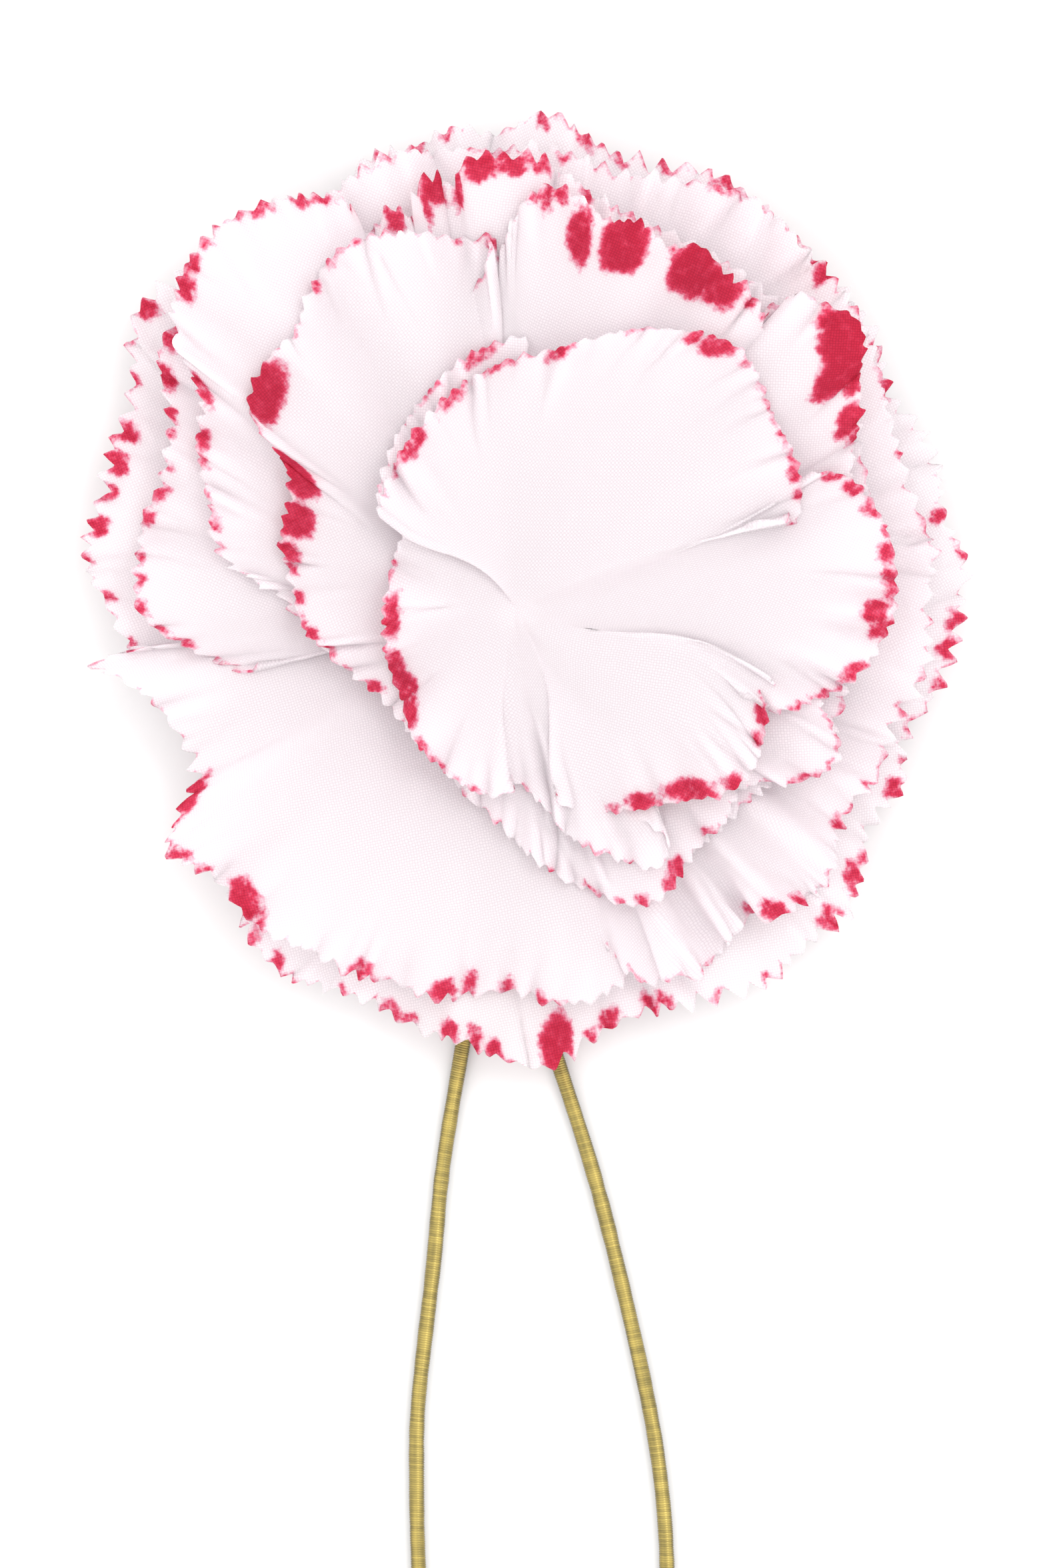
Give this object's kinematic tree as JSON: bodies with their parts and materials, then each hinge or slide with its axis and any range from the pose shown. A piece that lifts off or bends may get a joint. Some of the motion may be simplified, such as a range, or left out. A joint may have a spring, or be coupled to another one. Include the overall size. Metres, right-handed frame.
{
  "type": "fabric carnation boutonniere",
  "caption": "Ruffled white fabric carnation with pinked, crimson-dyed edges, on wire legs wound with gold thread, worn on a lapel.",
  "frame": {"origin": "centre of the backing pad's rear face, behind the middle of the flower", "axes": "+Z out of the flower's face, towards the viewer; -Y along the wire legs, away from the flower; +X to the right as the flower is seen with its legs down"},
  "size_m": [0.0706, 0.1443, 0.015],
  "materials": {
    "petal_cloth": "stiffened plain-weave cloth, pinked edge, crimson dye at the rim",
    "pad_felt": "thin white felt",
    "tack_thread": "knotted thread",
    "wire_steel": "drawn wire",
    "wrap_thread": "gold and olive silk thread, close wound"
  },
  "bodies": {
    "root": {"petal_disc_1": "petal_cloth", "petal_disc_2": "petal_cloth", "petal_disc_3": "petal_cloth", "petal_disc_4": "petal_cloth", "petal_disc_5": "petal_cloth", "back_pad": "pad_felt", "centre_tack": "tack_thread", "stem_core_left": "wire_steel", "stem_core_right": "wire_steel", "stem_wrap_left": "wrap_thread", "stem_wrap_right": "wrap_thread"}
  },
  "joints": []
}
